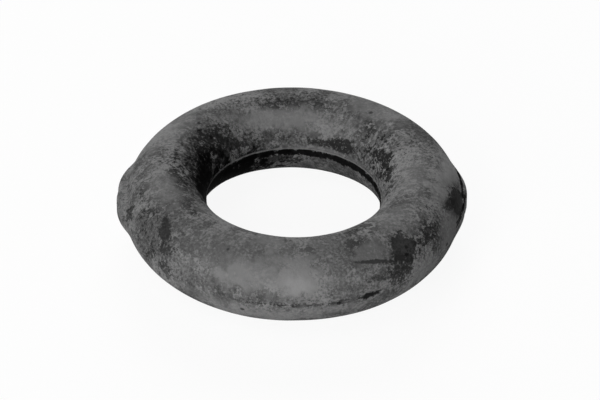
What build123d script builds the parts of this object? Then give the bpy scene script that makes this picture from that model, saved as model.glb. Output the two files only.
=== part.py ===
from build123d import *
from math import sqrt
import os

# A moulded rubber ring that carries a car's exhaust pipe between two steel hooks.
#
# It is one piece of solid rubber: a round section turned about +Z, lying flat. A crescent-shaped
# grip lobe stands out of the rim at each end of the X axis, where the two hooks pull. A thin web
# of flash runs round the bore, the rim and the lobes, where the two halves of the mould met.
# The origin is the ring's centre. Sizes are in millimetres.

# The ring
BORE_DIAMETER = 34.0  # clear of rubber at mid-height, before the flash
SECTION_DIAMETER = 16.0  # of the round section, so also the ring's height

# The two grip lobes
LOBE_RISE = 1.2  # out of the rim, at the lobe's middle
LOBE_ARC_RADIUS = 18.0  # of the outer wall, seen from above
LOBE_THICKNESS = 5.6  # along the ring's axis
LOBE_ROUNDING = 0.8  # radius on the wall's two rims, and where the lobe grows out of the section

# The flash on the parting line
FLASH_THICKNESS = 0.4
BORE_FLASH_WIDTH = 0.35  # into the bore
RIM_FLASH_WIDTH = 0.25  # out of the rim and the lobes

section_radius = SECTION_DIAMETER / 2
bore_radius = BORE_DIAMETER / 2
mean_radius = bore_radius + section_radius
rim_radius = bore_radius + SECTION_DIAMETER
lobe_centre = rim_radius + LOBE_RISE - LOBE_ARC_RADIUS
ledge_start = mean_radius + sqrt(section_radius**2 - (LOBE_THICKNESS / 2) ** 2)
ledge_width = rim_radius + LOBE_RISE - ledge_start  # of a lobe's flat top, at its middle

# The three planes of symmetry cut the ring into eight like pieces. One is modelled, above
# z = 0 and between +X and +Y, and the others are its mirror images.
first_quadrant = Rectangle(2 * rim_radius, 2 * rim_radius, align=(Align.MIN, Align.MIN))


def ring_eighth():
    """A quarter turn of the upper half of the round section."""
    upper_half = Pos(mean_radius, 0) * Circle(section_radius) & first_quadrant
    return revolve(Plane.XZ * upper_half, Axis.Z, 90)


def lobe_disc(width_out=0.0):
    """The +X lobe's full disc from above, grown outwards by a width."""
    return Pos(lobe_centre, 0) * Circle(LOBE_ARC_RADIUS + width_out)


def lobe_eighth():
    """The part of the lobe's crescent that reaches from the middle of the section past the rim."""
    crescent = (lobe_disc() - Circle(mean_radius)) & first_quadrant
    return extrude(crescent, LOBE_THICKNESS / 2)


def flash_eighth():
    """The thin plate that stands out of the parting line on both sides of the section."""
    outline = Circle(rim_radius + RIM_FLASH_WIDTH) + lobe_disc(RIM_FLASH_WIDTH)
    web = (outline - Circle(bore_radius - BORE_FLASH_WIDTH)) & first_quadrant
    return extrude(web, FLASH_THICKNESS / 2)


def off_the_cuts(edge):
    """Whether an edge lies clear of the three planes of symmetry."""
    middle = edge.center()
    return min(abs(middle.X), abs(middle.Y), abs(middle.Z)) > 1e-3


def rounded(eighth):
    """Rounds the lobe's rim and root, as far as its flat top leaves room for both."""
    edges = eighth.edges().filter_by(off_the_cuts)
    return fillet(edges, min(LOBE_ROUNDING, ledge_width / 2))


def hanger_ring():
    """The whole moulding, mirrored from its first eighth."""
    ring = rounded(ring_eighth() + lobe_eighth()) + flash_eighth()
    for plane in (Plane.XY, Plane.XZ, Plane.YZ):
        ring += mirror(ring, about=plane)
    return ring


os.makedirs("parts", exist_ok=True)
export_step(hanger_ring(), "parts/hanger_ring.step")
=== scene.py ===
"""A moulded rubber exhaust hanger ring, lying on a pale studio floor.

The ring is one piece of solid rubber. Its skin is spun from a round section, drawn out into two grip
lobes and cut along the mould's parting plane, where a ragged web of flash stands out. Lengths are in
metres, in the row's frame: the ring's centre is the origin, +Z is the axis of the bore, and the lobes
stand out along X. A place on the skin is given by two angles. Its turn goes round the ring from +X
towards +Y. Its tilt goes round the section: 0 is the rim, 90 the top and 180 the bore.
"""

import logging
from dataclasses import dataclass, field
from enum import Enum
from functools import partial
from math import atan2, cos, degrees, exp, hypot, pi, radians, sin

import bmesh
import bpy
from mathutils import Matrix, Vector, noise


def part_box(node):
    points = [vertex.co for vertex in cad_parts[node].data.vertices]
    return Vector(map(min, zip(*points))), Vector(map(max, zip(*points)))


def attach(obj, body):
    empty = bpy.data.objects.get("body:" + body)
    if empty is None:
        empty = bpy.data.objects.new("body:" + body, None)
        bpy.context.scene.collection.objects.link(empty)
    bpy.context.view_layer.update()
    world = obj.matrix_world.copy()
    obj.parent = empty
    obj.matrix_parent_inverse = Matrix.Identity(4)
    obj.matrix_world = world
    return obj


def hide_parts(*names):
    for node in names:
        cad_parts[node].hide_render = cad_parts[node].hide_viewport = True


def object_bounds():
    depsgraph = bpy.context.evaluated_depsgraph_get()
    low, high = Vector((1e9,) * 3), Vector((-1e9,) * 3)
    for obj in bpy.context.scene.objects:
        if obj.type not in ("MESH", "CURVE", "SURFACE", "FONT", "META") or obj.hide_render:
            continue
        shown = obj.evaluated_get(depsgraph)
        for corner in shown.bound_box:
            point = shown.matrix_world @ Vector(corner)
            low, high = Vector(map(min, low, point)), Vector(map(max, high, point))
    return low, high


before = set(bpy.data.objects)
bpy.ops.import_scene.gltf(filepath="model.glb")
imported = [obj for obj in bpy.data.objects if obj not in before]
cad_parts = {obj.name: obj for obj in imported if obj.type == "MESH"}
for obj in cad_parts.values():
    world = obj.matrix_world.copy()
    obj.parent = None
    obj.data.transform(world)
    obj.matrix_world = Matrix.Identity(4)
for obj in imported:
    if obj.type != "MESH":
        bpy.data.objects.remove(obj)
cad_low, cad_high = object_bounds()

log = logging.getLogger("hanger")

MM = 0.001
RIM_FLASH = 0.25 * MM

Colour = tuple[float, float, float]
Socket = bpy.types.NodeSocket
Feed = Socket | float | Colour | Vector


def grey(level: float) -> Colour:
    """A neutral colour of the given linear level."""
    return (level, level, level)


def put_in_scene(name: str, data: bpy.types.ID) -> bpy.types.Object:
    """Makes an object and puts it in the scene.

    Args:
        name: The object's name.
        data: Its mesh, lamp or camera.

    Returns:
        The object, at the origin.
    """
    made = bpy.data.objects.new(name, data)
    bpy.context.scene.collection.objects.link(made)
    return made


def mesh_object(name: str, work: bmesh.types.BMesh) -> bpy.types.Object:
    """Makes an object of a finished shape.

    Args:
        name: The object's name, and its mesh's.
        work: The shape, which is freed.

    Returns:
        The object, at the origin.
    """
    mesh = bpy.data.meshes.new(name)
    work.to_mesh(mesh)
    work.free()
    return put_in_scene(name, mesh)


def level_way(point: Vector) -> Vector:
    """The level unit vector from the ring's axis towards a point."""
    return Vector((point.x, point.y, 0)).normalized()


# ------- node sheets


@dataclass
class NodeSheet:
    """A node tree, with short ways to add its nodes and join them.

    Attributes:
        tree: The node tree of a material, a world or a group.
    """

    tree: bpy.types.NodeTree

    def add(self, kind: str, **settings: object) -> bpy.types.Node:
        """Adds a node.

        Args:
            kind: The node's type, without its ShaderNode prefix.
            **settings: Properties to set on it.

        Returns:
            The new node.
        """
        node = self.tree.nodes.new("ShaderNode" + kind)
        for name, value in settings.items():
            setattr(node, name, value)
        return node

    def feed(self, socket: Socket, value: Feed) -> None:
        """Links a socket to another node's output, or sets its own value.

        Args:
            socket: The input to fill.
            value: An output socket, or a plain number, colour or vector.
        """
        if isinstance(value, Socket):
            self.tree.links.new(value, socket)
        elif socket.type == "RGBA":
            socket.default_value = (*value, 1.0)
        else:
            socket.default_value = value

    def math(self, operation: str, *values: Feed, clamp: bool = False) -> Socket:
        """Adds a Math node.

        Args:
            operation: Its operation's name.
            *values: What feeds its inputs, in order.
            clamp: Whether the result is kept from 0 to 1.

        Returns:
            Its result.
        """
        node = self.add("Math", operation=operation, use_clamp=clamp)
        for socket, value in zip(node.inputs, values):
            self.feed(socket, value)
        return node.outputs[0]

    def product(self, first: Feed, *others: Feed) -> Socket:
        """Multiplies numbers.

        Args:
            first: The first of them.
            *others: What it is multiplied by, in order.

        Returns:
            Their product.
        """
        for other in others:
            first = self.math("MULTIPLY", first, other)
        return first

    def ramp(self, value: Feed, low: Feed, high: Feed, first: Feed = 0.0, last: Feed = 1.0) -> Socket:
        """Maps a value smoothly from one range to another, and holds it past the ends.

        Args:
            value: What is mapped.
            low: The value that gives first.
            high: The value that gives last.
            first: The result at low.
            last: The result at high.

        Returns:
            The mapped value.
        """
        node = self.add("MapRange", interpolation_type="SMOOTHSTEP")
        for socket, number in zip(node.inputs, (value, low, high, first, last)):
            self.feed(socket, number)
        return node.outputs["Result"]

    def noise(self, vector: Feed, lump: Feed, detail: float, roughness: float = 0.5) -> Socket:
        """Adds a Noise texture.

        Args:
            vector: Where it is read.
            lump: How many lumps there are to a metre.
            detail: How many finer layers lie on it.
            roughness: How strong the finer layers are.

        Returns:
            Its grey value, about 0.5.
        """
        node = self.add("TexNoise")
        values = {"Vector": vector, "Scale": lump, "Detail": detail, "Roughness": roughness}
        for name, value in values.items():
            self.feed(node.inputs[name], value)
        return node.outputs["Fac"]

    def split(self, vector: Feed) -> tuple[Socket, Socket, Socket]:
        """Takes a vector or a colour apart.

        Args:
            vector: What is taken apart.

        Returns:
            Its three parts.
        """
        node = self.add("SeparateXYZ")
        self.feed(node.inputs[0], vector)
        return tuple(node.outputs)

    def mix(self, share: Feed, first: Feed, second: Feed) -> Socket:
        """Mixes two colours.

        Args:
            share: How much of the second there is.
            first: The colour at 0.
            second: The colour at 1.

        Returns:
            The mixed colour.
        """
        node = self.add("Mix", data_type="RGBA")
        sockets = {socket.identifier: socket for socket in node.inputs}
        for name, value in (("Factor_Float", share), ("A_Color", first), ("B_Color", second)):
            self.feed(sockets[name], value)
        return next(socket for socket in node.outputs if socket.identifier == "Result_Color")


class Effect:
    """A surface effect as a shader node group, built once and placed in any material."""

    name = "effect"
    inputs: dict[str, str] = {}
    outputs: dict[str, str] = {}

    def draw(self, sheet: NodeSheet, given: dict[str, Socket]) -> dict[str, Socket]:
        """Draws the group's nodes from its inputs, and returns what feeds each of its outputs."""
        raise NotImplementedError

    def group(self) -> bpy.types.NodeTree:
        """Finds the group, or builds it the first time.

        Returns:
            The group's node tree.
        """
        found = bpy.data.node_groups.get(self.name)
        if found:
            return found
        tree = bpy.data.node_groups.new(self.name, "ShaderNodeTree")
        for direction, names in (("INPUT", self.inputs), ("OUTPUT", self.outputs)):
            for name, kind in names.items():
                tree.interface.new_socket(name, in_out=direction, socket_type="NodeSocket" + kind)
        start = tree.nodes.new("NodeGroupInput")
        end = tree.nodes.new("NodeGroupOutput")
        sheet = NodeSheet(tree)
        drawn = self.draw(sheet, {name: start.outputs[name] for name in self.inputs})
        for name, value in drawn.items():
            sheet.feed(end.inputs[name], value)
        return tree

    def place(self, sheet: NodeSheet, **values: Feed) -> dict[str, Socket]:
        """Places the group in a material.

        Args:
            sheet: The material's tree.
            **values: What feeds each input, with an underscore for a space.

        Returns:
            The group's outputs by name.
        """
        node = sheet.add("Group", node_tree=self.group())
        for name, value in values.items():
            sheet.feed(node.inputs[name.replace("_", " ")], value)
        return {name: node.outputs[name] for name in self.outputs}


class MouldGrain(Effect):
    """The fine pebbled skin that the mould's worn steel leaves on rubber."""

    name = "mould_grain"
    inputs = {"Vector": "Vector", "Lump": "Float"}
    outputs = {"Height": "Float", "Speck": "Float", "Fleck": "Float"}

    SPECKS_TO_PEBBLES = 1.8
    SPECK_HEIGHT = 0.35
    SPECK_EDGE = (0.4, 0.47)
    FLECK_EDGE = (0.55, 0.62)

    def draw(self, sheet: NodeSheet, given: dict[str, Socket]) -> dict[str, Socket]:
        """Draws pebbles, and specks of about half their size.

        Args:
            sheet: The group's tree.
            given: The group's inputs by name.

        Returns:
            Height, of the pebbles, Speck, 1 in the dark between them, and Fleck, 1 on their worn tops.
        """
        finer = sheet.product(given["Lump"], self.SPECKS_TO_PEBBLES)
        pebbles = sheet.noise(given["Vector"], given["Lump"], detail=3.0, roughness=0.6)
        specks = sheet.noise(given["Vector"], finer, detail=2.0, roughness=0.7)
        height = sheet.math("MULTIPLY_ADD", specks, self.SPECK_HEIGHT, pebbles)
        return {
            "Height": height,
            "Speck": sheet.ramp(specks, *self.SPECK_EDGE, 1.0, 0.0),
            "Fleck": sheet.ramp(specks, *self.FLECK_EDGE),
        }


class Mottle(Effect):
    """Uneven grey of handled rubber: broad clouds, smaller ones on them, and a fine dusting."""

    name = "mottle"
    inputs = {"Vector": "Vector", "Lump": "Float"}
    outputs = {"Shade": "Float", "Tear": "Float"}

    # how many of each there are to a broad cloud
    SMALL = 3.7
    TORN = 4.5
    DUSTING = 15.0
    # how strong each is
    BROAD_SHARE = 0.45
    SMALL_SHARE = 0.35
    DUSTING_SHARE = 0.3
    TEAR_REACH = 3.5
    SHADE_EDGE = (0.48, 0.63)

    def draw(self, sheet: NodeSheet, given: dict[str, Socket]) -> dict[str, Socket]:
        """Draws three sizes of cloud and adds them, and a noise that tears the edges of patches.

        Args:
            sheet: The group's tree.
            given: The group's inputs by name.

        Returns:
            Shade, from 0 to 1, and Tear, a broken noise about 0.
        """
        place, lump = given["Vector"], given["Lump"]
        broad = sheet.noise(place, lump, detail=2.0)
        small = sheet.noise(place, sheet.product(lump, self.SMALL), detail=3.0, roughness=0.6)
        dusting = sheet.noise(place, sheet.product(lump, self.DUSTING), detail=2.0, roughness=0.7)
        torn = sheet.noise(place, sheet.product(lump, self.TORN), detail=6.0, roughness=0.8)
        clouds = sheet.math("MULTIPLY_ADD", broad, self.BROAD_SHARE, sheet.product(small, self.SMALL_SHARE))
        shade = sheet.math("MULTIPLY_ADD", dusting, self.DUSTING_SHARE, clouds)
        tear = sheet.product(sheet.math("SUBTRACT", torn, 0.5), self.TEAR_REACH)
        return {"Shade": sheet.ramp(shade, *self.SHADE_EDGE), "Tear": tear}


class Blot(Effect):
    """A torn patch about one place, long one way and short the other."""

    name = "blot"
    inputs = {
        **dict.fromkeys(("Vector", "Centre", "Facing", "Size"), "Vector"),
        **dict.fromkeys(("Tear", "Ragged", "Sparse", "Soft"), "Float"),
    }
    outputs = {"Mask": "Float"}

    REACH = 6.0

    def draw(self, sheet: NodeSheet, given: dict[str, Socket]) -> dict[str, Socket]:
        """Draws a stretched ball about the centre, with its edge pushed in and out by the tear.

        Its Size is REACH times the patch's own, because the ball that measures how far away a place
        lies ends there.

        Args:
            sheet: The group's tree.
            given: The group's inputs by name.

        Returns:
            Mask, 1 inside and 0 outside.
        """
        local = sheet.add("Mapping", vector_type="TEXTURE")
        joins = {"Vector": "Vector", "Location": "Centre", "Rotation": "Facing", "Scale": "Size"}
        for name, value in joins.items():
            sheet.feed(local.inputs[name], given[value])
        ball = sheet.add("TexGradient", gradient_type="SPHERICAL")
        sheet.feed(ball.inputs["Vector"], local.outputs[0])
        away = sheet.math("MULTIPLY_ADD", ball.outputs["Fac"], -self.REACH, self.REACH)
        bare = sheet.math("ADD", away, given["Sparse"])
        torn = sheet.math("MULTIPLY_ADD", given["Tear"], given["Ragged"], bare)
        inner = sheet.math("SUBTRACT", 1.0, given["Soft"])
        outer = sheet.math("ADD", 1.0, given["Soft"])
        return {"Mask": sheet.ramp(torn, inner, outer, 1.0, 0.0)}


class BoreBand(Effect):
    """A band at one height, round the bore."""

    name = "bore_band"
    inputs = {"Vector": "Vector", **dict.fromkeys(("Mean Radius", "Level", "Spread", "Tear"), "Float")}
    outputs = {"Mask": "Float"}

    EDGE = 0.7

    def draw(self, sheet: NodeSheet, given: dict[str, Socket]) -> dict[str, Socket]:
        """Draws the band where the skin lies nearer to the axis than the middle of the section.

        Args:
            sheet: The group's tree.
            given: The group's inputs by name.

        Returns:
            Mask, 1 on the middle of the band and 0 off it.
        """
        across, along, height = sheet.split(given["Vector"])
        squared = sheet.math("MULTIPLY_ADD", across, across, sheet.product(along, along))
        from_axis = sheet.math("SQRT", squared)
        off = sheet.math("ABSOLUTE", sheet.math("SUBTRACT", height, given["Level"]))
        torn = sheet.math("MULTIPLY_ADD", given["Tear"], given["Spread"], off)
        edge = sheet.product(given["Spread"], self.EDGE)
        band = sheet.ramp(torn, edge, given["Spread"], 1.0, 0.0)
        inside = sheet.math("LESS_THAN", from_axis, given["Mean Radius"])
        return {"Mask": sheet.product(band, inside)}


class Pits(Effect):
    """Scattered pinholes, where air was caught in the mould."""

    name = "pits"
    inputs = {"Vector": "Vector", "Cells": "Float", "Share": "Float"}
    outputs = {"Mask": "Float"}

    EDGE = (0.1, 0.22)

    def draw(self, sheet: NodeSheet, given: dict[str, Socket]) -> dict[str, Socket]:
        """Draws one hole in some of the cells that the skin is shared into.

        Args:
            sheet: The group's tree.
            given: The group's inputs by name.

        Returns:
            Mask, 1 in a hole.
        """
        cells = sheet.add("TexVoronoi", feature="F1")
        sheet.feed(cells.inputs["Vector"], given["Vector"])
        sheet.feed(cells.inputs["Scale"], given["Cells"])
        draw_lots = sheet.split(cells.outputs["Color"])[0]
        chosen = sheet.math("LESS_THAN", draw_lots, given["Share"])
        hole = sheet.ramp(cells.outputs["Distance"], *self.EDGE, 1.0, 0.0)
        return {"Mask": sheet.product(chosen, hole)}


# ------- finishes


class Mark(Enum):
    """What lies on the rubber in a patch, as its grey. The darkest also serves as painted shade."""

    CHALK = 0.28
    DUST = 0.204
    HAZE = 0.161
    GRIME = 0.0214
    # near-black: soot, and painted shade in the bore's left side, the lobe's crease, the nicks and under
    # the bore's flash
    SOOT = 0.002

    @property
    def tone(self) -> Colour:
        """Its colour."""
        return grey(self.value)


@dataclass(frozen=True)
class Patch:
    """A torn patch on the ring's skin.

    Attributes:
        mark: What lies there.
        turn: Where it lies round the ring, in degrees.
        tilt: Where it lies round the section, in degrees.
        wide: Half its width, along the ring, in millimetres.
        tall: Half its height, round the section, in millimetres.
        strength: How much of the mark shows.
        lean: How far its width leans towards the bore at its far end, in degrees.
        ragged: How torn its edge is.
        sparse: How much of it is bare: at 0 it is whole, and at 1 it is a field of scattered flecks.
        soft: How gently its edge fades, as a share of its size.
    """

    mark: Mark
    turn: float
    tilt: float
    wide: float
    tall: float
    strength: float = 0.8
    lean: float = 0.0
    ragged: float = 1.6
    sparse: float = 0.0
    soft: float = 0.3

    LEAST_DEPTH = 3.0
    CURVED_DEPTH = 0.6

    def mask(self, coat: "Coat") -> Socket:
        """Places the patch on a ring.

        Args:
            coat: The ring's coat, so far.

        Returns:
            How much of the mark shows at each place.
        """
        turn, tilt = radians(self.turn), radians(self.tilt)
        depth = max(self.LEAST_DEPTH, self.tall, self.CURVED_DEPTH * self.wide)
        axes = coat.ring.skin_axes(turn, tilt) @ Matrix.Rotation(radians(self.lean), 3, "Z")
        blot = Blot().place(
            coat.sheet,
            Vector=coat.place,
            Centre=coat.ring.skin_point(turn, tilt),
            Facing=Vector(axes.to_euler()),
            Size=Vector((self.wide, self.tall, depth)) * MM * Blot.REACH,
            Tear=coat.tear,
            Ragged=self.ragged,
            Sparse=self.sparse,
            Soft=self.soft,
        )
        return coat.sheet.product(blot["Mask"], self.strength)


@dataclass
class Coat:
    """The look of a ring's skin, as its layers go on.

    Attributes:
        sheet: The material's tree.
        ring: The ring that wears it.
        place: Where the surface is.
        tear: The noise that tears the edges of what lies on it.
        colour: Its colour so far.
    """

    sheet: NodeSheet
    ring: "HangerRing"
    place: Socket
    tear: Socket
    colour: Socket

    def tint(self, share: Feed, mark: Mark) -> None:
        """Colours a share of the skin with a mark."""
        self.colour = self.sheet.mix(share, self.colour, mark.tone)

    def lay(self, patches: tuple[Patch, ...]) -> None:
        """Lays patches on, the first lowest."""
        for patch in patches:
            self.tint(patch.mask(self), patch.mark)


@dataclass(frozen=True)
class RubberFinish:
    """Dull, mottled black rubber.

    Attributes:
        name: The material's name.
        pale: The grey of its palest clouds.
        dark: The grey of its darkest clouds.
        speckle: How dark the finest specks are.
        flecking: How pale the finest flecks are.
        roughness: How dull its darkest places are.
        dulling: How much duller its palest places are.
        shine: How strongly it mirrors, where 0.5 is clean and bare.
        grain_lump: Pebbles to a metre.
        grain_depth: How deep the pebbles are.
        cloud_lump: Clouds to a metre.
        pit_lump: Places to a metre that may hold a pit.
        pit_share: How many of them do.
        pit_depth: How deep a pit is, as a share of the pebbles' depth.
        pit_soot: How full of soot it is.
        seam_soot_and_shadow: How dark the band under the bore's parting line is: soot, and painted shadow
            cast by the flash.
        fin_dust: How much dust its flash holds.
        stains: What has soaked in, under the specks and flecks, with some painted shade in the bore and the
            nicks.
        films: What lies over them, with painted shade in the bore, the crease and a nick.
    """

    name: str
    pale: float = 0.204
    dark: float = 0.0858
    speckle: float = 0.45
    flecking: float = 0.2
    roughness: float = 0.65
    dulling: float = 0.25
    shine: float = 0.003
    grain_lump: float = 1100.0
    grain_depth: float = 0.12 * MM
    cloud_lump: float = 110.0
    pit_lump: float = 380.0
    pit_share: float = 0.1
    pit_depth: float = 0.8
    pit_soot: float = 0.7
    seam_soot_and_shadow: float = 0.95
    fin_dust: float = 0.6
    stains: tuple[Patch, ...] = ()
    films: tuple[Patch, ...] = ()

    # where the band under the bore's flash lies: soot, and painted shadow of the flash
    SEAM_DROP = 0.95 * MM
    SEAM_SPREAD = 0.85 * MM
    FIN_SPREAD = 1.3

    def material(self, ring: "HangerRing") -> bpy.types.Material:
        """Builds the material.

        Args:
            ring: The ring whose skin carries the patches.

        Returns:
            The new material.
        """
        made = bpy.data.materials.new(self.name)
        made.use_nodes = True
        sheet = NodeSheet(made.node_tree)
        shader = made.node_tree.nodes["Principled BSDF"]
        place = sheet.add("TexCoord").outputs["Object"]
        grain = MouldGrain().place(sheet, Vector=place, Lump=self.grain_lump)
        clouds = Mottle().place(sheet, Vector=place, Lump=self.cloud_lump)
        pits = Pits().place(sheet, Vector=place, Cells=self.pit_lump, Share=self.pit_share)["Mask"]

        coat = Coat(
            sheet,
            ring,
            place,
            tear=clouds["Tear"],
            colour=sheet.mix(clouds["Shade"], grey(self.dark), grey(self.pale)),
        )
        coat.lay(self.stains)
        coat.tint(sheet.product(grain["Speck"], self.speckle), Mark.GRIME)
        coat.tint(sheet.product(grain["Fleck"], self.flecking), Mark.CHALK)
        coat.lay(self.films)
        self._paint_seam_shadow_and_fin_dust(coat)
        coat.tint(sheet.product(pits, self.pit_soot), Mark.SOOT)

        height = sheet.math("MULTIPLY_ADD", pits, -self.pit_depth, grain["Height"])
        bump = sheet.add("Bump")
        for name, value in (("Strength", 1.0), ("Distance", self.grain_depth), ("Height", height)):
            sheet.feed(bump.inputs[name], value)
        sheet.feed(shader.inputs["Normal"], bump.outputs["Normal"])
        sheet.feed(shader.inputs["Base Color"], coat.colour)
        level = sheet.add("RGBToBW")
        sheet.feed(level.inputs[0], coat.colour)
        dullest = self.roughness + self.dulling
        dullness = sheet.ramp(level.outputs[0], 0.0, self.pale, self.roughness, dullest)
        sheet.feed(shader.inputs["Roughness"], dullness)
        sheet.feed(shader.inputs["Specular IOR Level"], self.shine)
        return made

    def _paint_seam_shadow_and_fin_dust(self, coat: Coat) -> None:
        """Lays a near-black band under the bore's parting line, soot and painted shadow of the flash, and
        whitens the torn edge of its flash.

        Args:
            coat: What they lie on.
        """
        flash = coat.ring.flash[FlashSide.BORE]
        # painted shadow under the flash, with soot
        under = self._band(coat, flash.height - self.SEAM_DROP, self.SEAM_SPREAD)
        fin = self._band(coat, flash.height, self.FIN_SPREAD * coat.ring.flash_half_thickness)
        coat.tint(coat.sheet.product(under, self.seam_soot_and_shadow), Mark.SOOT)
        coat.tint(coat.sheet.product(fin, self.fin_dust), Mark.DUST)

    def _band(self, coat: Coat, level: float, spread: float) -> Socket:
        """Places a band at a level of the bore.

        Args:
            coat: What it is for.
            level: The height of its middle.
            spread: Half its width.

        Returns:
            Its mask.
        """
        placed = BoreBand().place(
            coat.sheet,
            Vector=coat.place,
            Mean_Radius=coat.ring.mean_radius,
            Level=level,
            Spread=spread,
            Tear=coat.tear,
        )
        return placed["Mask"]


# ------- the ring


class FlashSide(Enum):
    """The sides of the section where flash stands out."""

    BORE = -1
    RIM = 1


@dataclass(frozen=True)
class Flash:
    """The web of rubber that the mould squeezed out on one side.

    Attributes:
        width: How far it stands out, on average.
        drift: How much further it stands out towards +Y than towards -Y, halved.
        ragged: How uneven its edge is, as a share of its width.
        height: Of its parting line over the section's middle.
    """

    width: float
    drift: float
    ragged: float
    height: float = 0.0


@dataclass(frozen=True)
class Lobe:
    """A grip lobe: the part of a rounded disc that stands out of the rim.

    Attributes:
        aside: How far its middle lies towards +Y.
        recess: How far its wall falls short of the reach of the mould's drawing.
        arc_radius: Of its wall, seen from above.
        rounding: Of its rims.
        blend: How softly it grows out of the section.
        half_thickness: Along the ring's axis.
    """

    aside: float
    recess: float
    arc_radius: float
    rounding: float
    blend: float
    half_thickness: float = 2.6 * MM

    def distance(self, point: Vector, reach: float) -> float:
        """How far a point lies outside the disc.

        Args:
            point: Any point on the lobe's side of the ring, with X outwards.
            reach: How far the mould's drawing puts the wall from the ring's axis.

        Returns:
            The distance, below 0 inside.
        """
        centre = reach - self.recess - self.arc_radius
        across = hypot(point.x - centre, point.y - self.aside) - self.arc_radius + self.rounding
        above = abs(point.z) - self.half_thickness + self.rounding
        return min(max(across, above), 0.0) + hypot(max(across, 0.0), max(above, 0.0)) - self.rounding


@dataclass(frozen=True)
class Nick:
    """A shallow dent where something tore or cut the rubber.

    Attributes:
        turn: Where it lies round the ring, in degrees.
        tilt: Where it lies round the section, in degrees.
        wide: Half its width, along the ring.
        tall: Half its height, round the section.
        depth: How deep it is.
    """

    turn: float
    tilt: float
    wide: float
    tall: float
    depth: float


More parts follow.
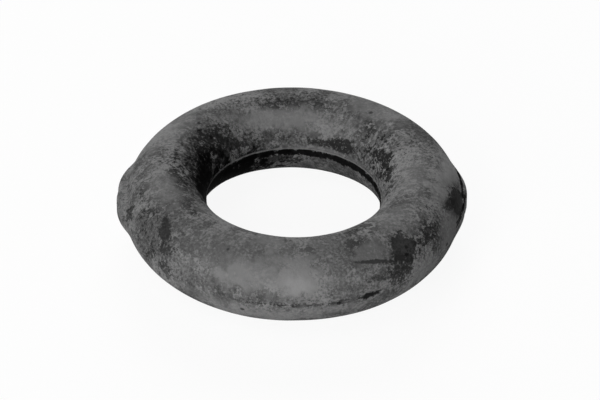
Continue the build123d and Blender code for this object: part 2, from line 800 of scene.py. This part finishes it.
@dataclass
class HangerRing:
    """The moulded ring with its lobes and flash.

    Attributes:
        section_radius: Of the round section.
        rim_radius: Of the ring's outside, without its lobes.
        lobe_reach: How far a lobe's wall stands from the ring's axis.
        nicks: The dents in its skin.
        lobes: The lobes at -X and +X, as they came out of the mould.
        flash_half_thickness: Of the flash at its root.
        flash: The flash on each side.
        half_slip: How far each half of the mould lay off centre, along X.
        bore_spread: How far the hooks have stretched the bore's left and right outwards.
        waviness: How far the skin strays from its true form.
        name: Of the finished object.
    """

    section_radius: float
    rim_radius: float
    lobe_reach: float
    nicks: tuple[Nick, ...] = ()
    lobes: tuple[Lobe, Lobe] = (
        Lobe(aside=0.8 * MM, recess=-0.1 * MM, arc_radius=15.0 * MM, rounding=0.45 * MM, blend=0.4 * MM),
        Lobe(aside=0.2 * MM, recess=0.3 * MM, arc_radius=16.5 * MM, rounding=0.7 * MM, blend=0.8 * MM),
    )
    flash_half_thickness: float = 0.14 * MM
    flash: dict[FlashSide, Flash] = field(
        default_factory=lambda: {
            FlashSide.BORE: Flash(width=0.12 * MM, drift=0.09 * MM, ragged=0.25, height=0.65 * MM),
            FlashSide.RIM: Flash(width=0.13 * MM, drift=0.0, ragged=0.8),
        }
    )
    half_slip: float = 0.16 * MM
    bore_spread: float = 0.15 * MM
    waviness: float = 0.07 * MM
    name: str = "hanger_ring_skin"

    # how finely the section and the ring are divided
    SECTION_SIDES = 96
    FINE_TILT = radians(30)
    FINE_CUTS = 5
    BORE_TILT = radians(8)
    BORE_CUTS = 2
    LOBE_SPAN = radians(44)
    LOBE_STEPS = 88
    PLAIN_STEPS = 136
    # how nearly things have to meet
    EDGE_SLACK = 1e-4
    RIM_SLACK = 0.01
    WELD = 0.01 * MM
    CUT = 0.002 * MM
    # how the skin is found
    PROBE = 0.02 * MM
    PAST_LOBES = 3 * MM
    SKIN_STEPS = 24
    SLIP_SPREAD = 2.0
    # the flash's edge
    TEARS = 14.0
    FINE_TEARS = 60.0
    FINE_TEAR_SHARE = 0.5
    LEAST_FLASH = 0.03 * MM
    FLASH_TAPER = 0.25
    FLASH_THINNING = 0.7
    # the waves in the skin
    WAVE = 11.0 * MM
    RIPPLE = 4.0 * MM
    RIPPLE_SHARE = 0.45

    @classmethod
    def from_frame(cls, node: str, rim_flash: float, nicks: tuple[Nick, ...]) -> "HangerRing":
        """Takes the ring's sizes from its solid.

        Args:
            node: The solid's name.
            rim_flash: How far flash stands out of the solid's rim and lobes.
            nicks: The dents in its skin.

        Returns:
            A ring of the solid's size.
        """
        _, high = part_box(node)
        return cls(
            section_radius=high.z,
            rim_radius=high.y - rim_flash,
            lobe_reach=high.x - rim_flash,
            nicks=nicks,
        )

    @property
    def mean_radius(self) -> float:
        """Of the circle through the middle of the section."""
        return self.rim_radius - self.section_radius

    def skin_axes(self, turn: float, tilt: float) -> Matrix:
        """The skin's own axes at a place: along the ring, round the section towards the bore, and outwards.

        Args:
            turn: Round the ring, in radians.
            tilt: Round the section, in radians.

        Returns:
            A rotation whose columns are those axes.
        """
        point = self.skin_point(turn, tilt)
        distance = self._skin_distance
        steps = (Vector(axis) * self.PROBE for axis in Matrix.Identity(3))
        out = Vector(distance(point + step) - distance(point - step) for step in steps).normalized()
        along = Vector((-sin(turn), cos(turn), 0))
        along = (along - out * along.dot(out)).normalized()
        return Matrix((along, out.cross(along), out)).transposed()

    def skin_point(self, turn: float, tilt: float) -> Vector:
        """The point of the skin, with its lobes, at a turn and a tilt in radians."""
        radial = Vector((cos(turn), sin(turn), 0))
        return self._out_to_skin(radial, radial * cos(tilt) + Vector((0, 0, sin(tilt))))

    def build(self) -> bpy.types.Object:
        """Models the ring's skin.

        Returns:
            The ring as an object at the origin.
        """
        work = bmesh.new()
        self._spin_section(work)
        self._draw_out_lobes(work)
        self._slip_halves(work)
        for side in FlashSide:
            self._raise_flash(work, side)
        self._wear(work)
        bmesh.ops.recalc_face_normals(work, faces=work.faces)
        for face in work.faces:
            face.smooth = True
        return mesh_object(self.name, work)

    def _spin_section(self, work: bmesh.types.BMesh) -> None:
        """Draws the round section, finer where the lobes and the flash are, and spins it round +Z.

        Args:
            work: The empty mesh to fill.
        """
        start = Matrix.Rotation(-self.LOBE_SPAN / 2, 4, "Z")
        upright = Matrix.Translation((self.mean_radius, 0, 0)) @ Matrix.Rotation(pi / 2, 4, "X")
        bmesh.ops.create_circle(
            work,
            cap_ends=False,
            segments=self.SECTION_SIDES,
            radius=self.section_radius,
            matrix=start @ upright,
        )
        centre = start @ Vector((self.mean_radius, 0, 0))
        rim = (self.FINE_CUTS, 0.0, self.FINE_TILT)
        bore = (self.BORE_CUTS, pi, self.BORE_TILT)
        for cuts, middle, reach in (rim, bore):
            near = [
                edge
                for edge in work.edges
                if all(abs(abs(self._tilt(v.co)) - middle) <= reach + self.EDGE_SLACK for v in edge.verts)
            ]
            bmesh.ops.subdivide_edges(work, edges=near, cuts=cuts)
        for vert in work.verts:
            vert.co = centre + (vert.co - centre).normalized() * self.section_radius
        profile = work.verts[:] + work.edges[:]
        plain_span = pi - self.LOBE_SPAN
        for span, steps in ((self.LOBE_SPAN, self.LOBE_STEPS), (plain_span, self.PLAIN_STEPS)) * 2:
            spun = bmesh.ops.spin(
                work, geom=profile, cent=(0, 0, 0), axis=(0, 0, 1), angle=span, steps=steps, use_merge=False
            )
            profile = spun["geom_last"]
        bmesh.ops.remove_doubles(work, verts=work.verts, dist=self.WELD)

    def _tilt(self, point: Vector) -> float:
        """A point's angle round the section, from the rim, in radians."""
        return atan2(point.z, hypot(point.x, point.y) - self.mean_radius)

    def _skin_distance(self, point: Vector) -> float:
        """How far a point lies outside the ring and its lobes.

        Args:
            point: Any point beyond the middle of the section.

        Returns:
            The distance, below 0 inside.
        """
        ring = hypot(hypot(point.x, point.y) - self.mean_radius, point.z) - self.section_radius
        lobe = self.lobes[point.x > 0]
        disc = lobe.distance(Vector((abs(point.x), point.y, point.z)), self.lobe_reach)
        share = max(lobe.blend - abs(ring - disc), 0.0) / lobe.blend
        return min(ring, disc) - share * share * lobe.blend / 4

    def _out_to_skin(self, radial: Vector, way: Vector) -> Vector:
        """Goes from the middle of the section out to the skin.

        Args:
            radial: The level unit vector from the ring's axis to the place.
            way: The unit vector to go along.

        Returns:
            The point on the skin of the ring or of a lobe.
        """
        middle = radial * self.mean_radius
        along = self.section_radius + self.PAST_LOBES
        for _ in range(self.SKIN_STEPS):
            along -= self._skin_distance(middle + way * along)
        return middle + way * along

    def _draw_out_lobes(self, work: bmesh.types.BMesh) -> None:
        """Moves each point of the rim outwards until it lies on the ring's or a lobe's skin.

        Args:
            work: The spun ring.
        """
        for vert in work.verts:
            on_rim = abs(self._tilt(vert.co)) <= self.FINE_TILT + self.RIM_SLACK
            by_lobe = abs(vert.co.y) <= self.rim_radius * sin(self.LOBE_SPAN / 2)
            if not (on_rim and by_lobe):
                continue
            radial = level_way(vert.co)
            way = (vert.co - radial * self.mean_radius).normalized()
            vert.co = self._out_to_skin(radial, way)

    def _slip_halves(self, work: bmesh.types.BMesh) -> None:
        """Slides the upper and lower halves apart along X, and stretches the bore along it.

        Args:
            work: The ring with its lobes.
        """
        for vert in work.verts:
            slip = max(-1.0, min(1.0, vert.co.z / (self.flash_half_thickness * self.SLIP_SPREAD)))
            inside = 0.5 - 0.5 * cos(self._tilt(vert.co))
            stretch = self.bore_spread * inside * vert.co.x / hypot(*vert.co.xy)
            vert.co.x += self.half_slip * slip + stretch

    def _raise_flash(self, work: bmesh.types.BMesh, side: FlashSide) -> None:
        """Cuts the skin along the two faces of the flash on one side, and raises its ragged web.

        Args:
            work: The ring with its lobes.
            side: Which side.
        """
        flash = self.flash[side]

        def on_side(item: bmesh.types.BMFace) -> bool:
            """Whether a face lies on this side of the section."""
            return (hypot(*item.calc_center_median().xy) - self.mean_radius) * side.value > 0

        for height in (flash.height - self.flash_half_thickness, flash.height + self.flash_half_thickness):
            near = [face for face in work.faces if on_side(face)]
            edges = dict.fromkeys(edge for face in near for edge in face.edges)
            verts = dict.fromkeys(vert for face in near for vert in face.verts)
            bmesh.ops.bisect_plane(
                work,
                geom=[*verts, *edges, *near],
                dist=self.CUT,
                plane_co=(0, 0, height),
                plane_no=(0, 0, 1),
            )
        strip = [
            face
            for face in work.faces
            if abs(face.calc_center_median().z - flash.height) < self.flash_half_thickness and on_side(face)
        ]
        raised = bmesh.ops.extrude_face_region(work, geom=strip)["geom"]
        for vert in (item for item in raised if isinstance(item, bmesh.types.BMVert)):
            outward = level_way(vert.co)
            torn = noise.noise(outward * self.TEARS)
            torn += self.FINE_TEAR_SHARE * noise.noise(outward * self.FINE_TEARS)
            width = (flash.width + flash.drift * outward.y) * (1.0 + flash.ragged * torn)
            off = vert.co.z - flash.height
            at_tip = 1.0 - self.FLASH_TAPER * abs(off) / self.flash_half_thickness
            vert.co += outward * side.value * max(width, self.LEAST_FLASH) * at_tip
            vert.co.z = flash.height + self.FLASH_THINNING * off

    def _wear(self, work: bmesh.types.BMesh) -> None:
        """Makes the skin a little uneven, and presses the nicks into it.

        Args:
            work: The finished ring.
        """
        for vert in work.verts:
            flat = level_way(vert.co) * self.mean_radius
            way = (vert.co - flat).normalized()
            push = noise.noise(vert.co / self.WAVE) + self.RIPPLE_SHARE * noise.noise(vert.co / self.RIPPLE)
            turn, tilt = degrees(atan2(flat.y, flat.x)), degrees(self._tilt(vert.co))
            dent = sum(self._dent(nick, turn, tilt) for nick in self.nicks)
            vert.co += way * (push * self.waviness - dent)

    def _dent(self, nick: Nick, turn: float, tilt: float) -> float:
        """How deep a nick is at one place.

        Args:
            nick: The nick.
            turn: Round the ring, in degrees.
            tilt: Round the section, in degrees.

        Returns:
            The depth there.
        """
        along = radians(turn - nick.turn) * self.rim_radius / nick.wide
        across = radians(tilt - nick.tilt) * self.section_radius / nick.tall
        return nick.depth * exp(-(along**4 + across**2))


NICKS = (
    Nick(-64, -2, 2.3 * MM, 0.5 * MM, 0.3 * MM),
    Nick(-73, -3, 0.8 * MM, 0.35 * MM, 0.15 * MM),
    Nick(-88, -2, 1.2 * MM, 0.35 * MM, 0.18 * MM),
    Nick(-95, -2, 1.6 * MM, 0.3 * MM, 0.15 * MM),
    Nick(-103, -2, 0.9 * MM, 0.4 * MM, 0.15 * MM),
)

# a patch of each mark, from its turn, tilt, half width, half height and strength
chalk = partial(Patch, Mark.CHALK)
dust = partial(Patch, Mark.DUST)
haze = partial(Patch, Mark.HAZE)
grime = partial(Patch, Mark.GRIME)
# near-black patches: soot, and painted shade where the bore, the crease and the nicks lie in shadow
soot_and_shade = partial(Patch, Mark.SOOT)
# a short dark stroke in the crease along the right lobe: grime, and painted shade in the crease
crease_soot_and_shade = partial(soot_and_shade, wide=2.2, tall=0.27, strength=0.9, ragged=0.9)

STAINS = (
    # thin grime, in clouds and in fields of flecks
    grime(-128, 12, 14, 3, 0.42, soft=0.7),
    grime(-75, 82, 6.5, 5.5, 0.5, soft=0.7),
    grime(-104, 68, 5, 2.2, 0.3, soft=0.7),
    grime(-98, 6, 9, 1.8, 0.3, soft=0.7),
    grime(-167, 100, 7, 2.5, 0.45, soft=0.7),
    grime(-157, 57, 9, 6.5, ragged=4.0, sparse=1.15),
    grime(-140, 0, 8, 3, 0.6, ragged=4.0, sparse=1.5),
    grime(-34, 42, 8, 7, 0.6, ragged=4.5, sparse=1.5),
    grime(8, 90, 9, 6, 0.5, ragged=4.5, sparse=1.8),
    grime(85, 140, 13, 4, 0.5, ragged=4.5, sparse=1.7),
    grime(90, 98, 14, 4, 0.6, ragged=4.5, sparse=1.6),
    soot_and_shade(17, 148, 8, 5, 0.75, ragged=5.0, sparse=1.3),
    grime(188, 110, 8, 3, 0.7, ragged=4.0, sparse=1.2),
    # front and right
    grime(-52, 20, 2.5, 2.8, 0.85),
    grime(-35, 42, 3.2, 1.5, 0.75, ragged=2.4),
    grime(-32, 62, 2.2, 2.2, 0.5, ragged=3.0),
    grime(-32, 24, 3.2, 2.4, 0.5, ragged=3.0),
    grime(-60, 20, 3.2, 0.6, 0.6, ragged=2.4),
    # soot in the nicks along the outer parting line, deepened as painted shade in the dents
    soot_and_shade(-76, -3, 2.2, 0.5, 0.7, ragged=3.0),
    soot_and_shade(-93, -2, 6.5, 0.35, 0.7, ragged=3.0),
    grime(-86, 80, 1.4, 0.9, 0.65),
    grime(-66, 80, 1.8, 1.2, 0.65, ragged=2.4),
    grime(-54, 106, 1.6, 1.8, 0.6, ragged=3.0),
    grime(-64, 104, 1, 1.2, 0.5, ragged=3.0),
    grime(-95, 106, 0.4, 1.2, 0.5, ragged=2.0),
    # the right lobe
    grime(-15, 39, 3, 1.3, 0.9, lean=-20, ragged=1.2, soft=0.2),
    grime(-1, 35, 2.2, 1.8, 0.85),
    # left
    grime(-141, 28, 2.6, 0.9, 0.65, lean=27, ragged=2.4),
    grime(-154, 77, 1.5, 0.9, 0.7, ragged=1.8),
    grime(-168, 17, 1.1, 2.6, ragged=1.8),
    grime(-154, 98, 3.4, 1.2, 0.7, ragged=2.4),
    grime(-173, 106, 4.6, 1.4, 0.75, ragged=2.2),
    grime(-140, -2, 2.6, 1.2, 0.6, ragged=3.0),
    # far side
    grime(87, 109, 9.5, 1.5, 0.4, soft=0.5),
    grime(98, 111, 2.6, 1, 0.65, ragged=2.4),
    grime(74, 111, 2.2, 0.9, 0.6, ragged=2.4),
    grime(45, 113, 2, 1, 0.7, lean=-30, ragged=1.8),
    # bore
    grime(18, 144, 5, 1.8, 0.95, ragged=2.0),
    grime(-9, 139, 2.4, 1.5, 0.7, ragged=2.0),
    grime(54, 158, 2.6, 1.6, 0.95, ragged=1.2),
    grime(69, 163, 3.8, 0.7, 0.85),
    grime(102, 158, 3, 2, 0.5, ragged=3.0),
    grime(120, 160, 2.2, 2.2, 0.7, ragged=3.0),
    grime(100, 193, 4.5, 2.4, 0.85),
    # the bore's upper left: grime, darkened further as painted shade fading into the shadowed left wall
    grime(145, 132, 5, 2.8, 0.9, ragged=1.8),
    grime(165, 124, 6, 2.6, soft=0.7),
)

FILMS = (
    # haze that smooths the front
    haze(-113, 60, 9, 6, 0.3, soft=0.7),
    haze(-86, 56, 9, 6, 0.25, soft=0.7),
    # dust
    dust(-101, 40, 9, 2.6, 0.5, soft=0.6),
    dust(-90, 42, 3, 3.2, 0.5, soft=0.5),
    dust(-112, 36, 3, 1.8, 0.4, soft=0.5),
    chalk(-90, 27, 2, 1.6, 0.45, soft=0.6),
    dust(80, 138, 8, 1.7, 0.4, soft=0.4),
    dust(-164, 86, 5, 2.4, 0.5, soft=0.5),
    dust(-5, 105, 5, 3, 0.4, soft=0.6),
    dust(-40, 88, 4, 3, 0.4, soft=0.6),
    dust(148, 68, 7, 2.6, 0.5, soft=0.6),
    dust(50, 84, 6, 2.6, 0.5, soft=0.6),
    chalk(-12, 80, 0.8, 0.8, 0.5, soft=0.6),
    dust(-8, 58, 5, 1.6, 0.65, soft=0.5),
    chalk(10, 28, 2.6, 2.2, 0.5, soft=0.6),
    dust(0, 0, 10, 2.4, 0.6),
    dust(-22, 14, 4, 2.8, 0.65, soft=0.5),
    dust(-100, -27, 15, 1.8, 0.55, soft=0.5),
    dust(-102, 98, 3, 2, 0.4, soft=0.5),
    dust(98, 130, 8, 1.8, 0.6, soft=0.4),
    dust(-61, 57, 3, 2, 0.4, soft=0.5),
    chalk(3, 42, 3.4, 2, 0.7, soft=0.6),
    dust(-40, -6, 3, 2, 0.6, soft=0.5),
    chalk(12, 164, 1.8, 0.5, 0.4),
    chalk(65, 174, 7, 0.5, 0.3, soft=0.5),
    # flecks of dust
    chalk(5, 92, 9, 6, 0.25, ragged=-4.5, sparse=1.7),
    chalk(85, 135, 13, 4.5, 0.25, ragged=-4.5, sparse=1.7),
    chalk(14, 150, 9, 4.5, 0.6, ragged=-5.0, sparse=1.4),
    chalk(-38, 50, 10, 7, 0.3, ragged=-4.5, sparse=1.8),
    # grime over the flecks
    grime(-48, 46, 2.7, 3, 0.85, ragged=0.8, soft=0.15),
    grime(-60.5, 43, 4, 0.36, lean=-16, ragged=0.8),
    # soot in the big nick on the outer parting line, with painted shade in the dent
    soot_and_shade(-65, -2, 2.5, 0.75, 0.9, ragged=1.0),
    grime(-9, 28, 3.9, 2.5, 0.85, ragged=0.8, soft=0.15),
    grime(-145.3, 48, 2.7, 1.5, lean=-43, ragged=0.8, soft=0.2),
    # the crease along the right lobe: grime and painted shade
    *(crease_soot_and_shade(turn, 18) for turn in (19, 15, 11, 7, 3, -1)),
    crease_soot_and_shade(-5, 16),
    crease_soot_and_shade(-9, 15),
    crease_soot_and_shade(-13, 12),
    crease_soot_and_shade(-15, 8),
    # the grime and soot on the bore's left side, with painted shade that blackens its wall where it lies in
    # shadow
    grime(142, 152, 5, 3.4, ragged=2.0, soft=0.4),
    soot_and_shade(164, 158, 6.5, 4.4, 0.95, ragged=1.2, soft=0.5),
    soot_and_shade(184, 160, 6.5, 4.6, 1.0, ragged=0.6, soft=0.5),
    soot_and_shade(131, 201, 7, 4, 0.98, ragged=1.0, soft=0.2),
    soot_and_shade(158, 202, 9, 4.6, 1.0, ragged=0.6, soft=0.25),
    soot_and_shade(108, 203, 6, 2.6, 0.75, ragged=3.0, sparse=0.6),
    chalk(132, 163, 5, 2.2, 0.35, ragged=-5.0, sparse=1.3),
)

# ------- the studio


@dataclass(frozen=True)
class SoftBox:
    """A square studio lamp that faces the ring.

    Attributes:
        name: The lamp's name.
        turn: Where it stands, in degrees from +X towards +Y.
        height: How high it stands over the floor, in degrees.
        away: How far it is.
        side: Of its square.
        level: How strongly it lights a surface that faces it: at 1 a colour renders as it is written.
    """

    name: str
    turn: float
    height: float
    away: float
    side: float
    level: float

    def build(self) -> None:
        """Makes the lamp and turns it to the ring."""
        data = bpy.data.lights.new(self.name, "AREA")
        data.shape = "SQUARE"
        data.size = self.side
        data.energy = self.level * (pi * self.away) ** 2
        lamp = put_in_scene(self.name, data)
        turn, height = radians(self.turn), radians(self.height)
        way = Vector((cos(turn) * cos(height), sin(turn) * cos(height), sin(height)))
        lamp.location = way * self.away
        lamp.rotation_euler = (-way).to_track_quat("-Z", "Y").to_euler()


@dataclass(frozen=True)
class Stage:
    """The pale floor, the room's light and the lamps.

    Attributes:
        floor_level: The height that the ring lies on.
        floor_radius: Of the round floor.
        floor_grey: Its own grey.
        floor_whitening: How much of its look is plain white, over the shadow.
        room_light: The level of the light from all round.
        lamps: The lamps.
    """

    floor_level: float
    floor_radius: float = 3.0
    floor_grey: float = 0.9
    floor_whitening: float = 0.92
    room_light: float = 0.04
    lamps: tuple[SoftBox, ...] = (
        SoftBox("key", turn=-120, height=26, away=0.9, side=0.45, level=0.54),
        SoftBox("front", turn=-95, height=7, away=0.9, side=0.4, level=0.3),
        SoftBox("top", turn=-165, height=60, away=0.9, side=0.6, level=0.3),
        SoftBox("back", turn=88, height=24, away=1.0, side=0.6, level=0.9),
    )

    FLOOR_SIDES = 96

    def build(self) -> None:
        """Makes the floor, the world and the lamps."""
        work = bmesh.new()
        bmesh.ops.create_circle(
            work,
            cap_ends=True,
            segments=self.FLOOR_SIDES,
            radius=self.floor_radius,
            matrix=Matrix.Translation((0, 0, self.floor_level)),
        )
        floor = mesh_object("floor", work)
        floor.data.materials.append(self._floor_material())
        self._light_room()
        for lamp in self.lamps:
            lamp.build()

    def _seen(self, sheet: NodeSheet) -> Socket:
        """Tells the rays that see a thing from those that light others.

        Args:
            sheet: The tree that asks.

        Returns:
            1 for a ray of the camera, a reflection or a clear piece, and 0 for the rest.
        """
        path = sheet.add("LightPath").outputs
        mirrored = sheet.math("ADD", path["Is Glossy Ray"], path["Is Transmission Ray"], clamp=True)
        return sheet.math("ADD", path["Is Camera Ray"], mirrored, clamp=True)

    def _floor_material(self) -> bpy.types.Material:
        """Builds the matt floor, which whitens where it is seen.

        Returns:
            The new material.
        """
        made = bpy.data.materials.new("floor_paper")
        made.use_nodes = True
        nodes = made.node_tree.nodes
        nodes.clear()
        sheet = NodeSheet(made.node_tree)
        paper = sheet.add("BsdfDiffuse")
        white = sheet.add("Emission")
        sheet.feed(paper.inputs["Color"], grey(self.floor_grey))
        sheet.feed(white.inputs["Color"], grey(1.0))
        both = sheet.add("MixShader")
        end = sheet.add("OutputMaterial")
        share = sheet.product(self._seen(sheet), self.floor_whitening)
        for socket, value in zip(both.inputs, (share, paper.outputs[0], white.outputs[0])):
            sheet.feed(socket, value)
        sheet.feed(end.inputs["Surface"], both.outputs[0])
        return made

    def _light_room(self) -> None:
        """Fills the world with an even light, white where it is seen."""
        world = bpy.data.worlds.new("studio")
        bpy.context.scene.world = world
        world.use_nodes = True
        sheet = NodeSheet(world.node_tree)
        air = world.node_tree.nodes["Background"]
        sheet.feed(air.inputs["Color"], grey(1.0))
        sheet.feed(air.inputs["Strength"], sheet.ramp(self._seen(sheet), 0.0, 1.0, self.room_light, 1.0))


@dataclass(frozen=True)
class Portrait:
    """The camera: a long lens that looks down on the ring from its front.

    Attributes:
        turn: Round the ring, in degrees: 0 looks along +Y.
        height: Over the floor, in degrees.
        roll: How far the ring leans clockwise in the view, in degrees.
        away: From the ring's centre.
        lens: Its focal length, in millimetres.
        sensor: How wide its sensor is, in millimetres.
        nearest: Nothing nearer shows.
        furthest: Nothing further away shows.
        aside: How far the view's middle lies to the right of the ring's centre.
        above: How far it lies above.
    """

    turn: float = -2.0
    height: float = 36.35
    roll: float = 0.87
    away: float = 833.0 * MM
    lens: float = 255.3
    sensor: float = 36.0
    nearest: float = 0.05
    furthest: float = 20.0
    aside: float = 1.393 * MM
    above: float = 0.259 * MM

    def build(self) -> None:
        """Makes the camera and gives it to the scene."""
        turn, height, roll = radians(self.turn), radians(self.height), radians(self.roll)
        back = Vector((sin(turn) * cos(height), -cos(turn) * cos(height), sin(height)))
        level = Vector((cos(turn), sin(turn), 0))
        upright = back.cross(level)
        right = level * cos(roll) + upright * sin(roll)
        up = upright * cos(roll) - level * sin(roll)
        data = bpy.data.cameras.new("portrait")
        data.lens = self.lens
        data.sensor_width = self.sensor
        data.clip_start = self.nearest
        data.clip_end = self.furthest
        camera = put_in_scene("portrait", data)
        axes = Matrix((right, up, back)).transposed().to_4x4()
        place = back * self.away + right * self.aside + up * self.above
        camera.matrix_world = Matrix.Translation(place) @ axes
        bpy.context.scene.camera = camera


def main() -> None:
    """Builds the ring, dresses it, and sets up the studio."""
    logging.basicConfig(level=logging.INFO, format="%(name)s: %(message)s")
    ring = HangerRing.from_frame("hanger_ring", rim_flash=RIM_FLASH, nicks=NICKS)
    skin = ring.build()
    rubber = RubberFinish("rubber_skin", stains=STAINS, films=FILMS)
    skin.data.materials.append(rubber.material(ring))
    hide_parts("hanger_ring")
    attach(skin, "root")
    log.info("%s: %d faces", skin.name, len(skin.data.polygons))
    Stage(floor_level=cad_low.z).build()
    Portrait().build()
    bpy.context.scene.view_settings.view_transform = "Standard"


if __name__ == "__main__":
    main()
